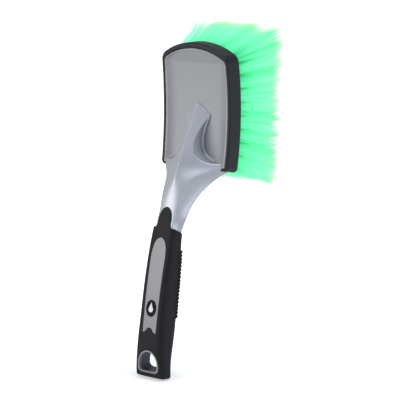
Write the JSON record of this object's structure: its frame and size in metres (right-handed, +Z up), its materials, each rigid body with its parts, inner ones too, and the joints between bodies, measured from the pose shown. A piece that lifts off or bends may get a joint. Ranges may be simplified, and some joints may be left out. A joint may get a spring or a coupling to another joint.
{
  "type": "wheel brush",
  "caption": "Short-handled wheel brush: curved head with splayed soft tufts, rubber bumper, cranked neck, rubber grip with ribs and a hang hole.",
  "frame": {"origin": "middle of the hang hole, on the back of the handle's butt", "axes": "+Z up along the handle and head, +Y the way the bristles point, +X across the brush"},
  "size_m": [0.0888, 0.1401, 0.2975],
  "materials": {
    "silver_gloss": "metallic silver, glossy",
    "silver_satin": "metallic silver, satin",
    "black_rubber": "soft moulded rubber, fine grain",
    "block_plastic": "moulded, matte",
    "green_nylon": "flagged nylon filament",
    "staple_wire": "drawn wire",
    "badge_black": "glossy",
    "emblem_white": "glossy"
  },
  "bodies": {
    "root": {"handle_core": "silver_gloss", "head_shell": "silver_satin", "head_bumper": "black_rubber", "bristle_block": "block_plastic", "tuft_staples": "staple_wire", "grip_sleeve": "black_rubber", "grip_inlay": "silver_satin", "badge": "badge_black", "badge_emblem": "emblem_white", "hang_liner": "silver_satin", "tuft_row_01": "green_nylon", "tuft_row_02": "green_nylon", "tuft_row_03": "green_nylon", "tuft_row_04": "green_nylon", "tuft_row_05": "green_nylon", "tuft_row_06": "green_nylon", "tuft_row_07": "green_nylon", "tuft_row_08": "green_nylon", "tuft_row_09": "green_nylon", "tuft_row_10": "green_nylon", "tuft_row_11": "green_nylon", "tuft_row_12": "green_nylon", "tuft_row_13": "green_nylon", "tuft_row_14": "green_nylon", "tuft_row_15": "green_nylon", "tuft_row_16": "green_nylon", "tuft_row_17": "green_nylon", "tuft_row_18": "green_nylon"}
  },
  "joints": []
}
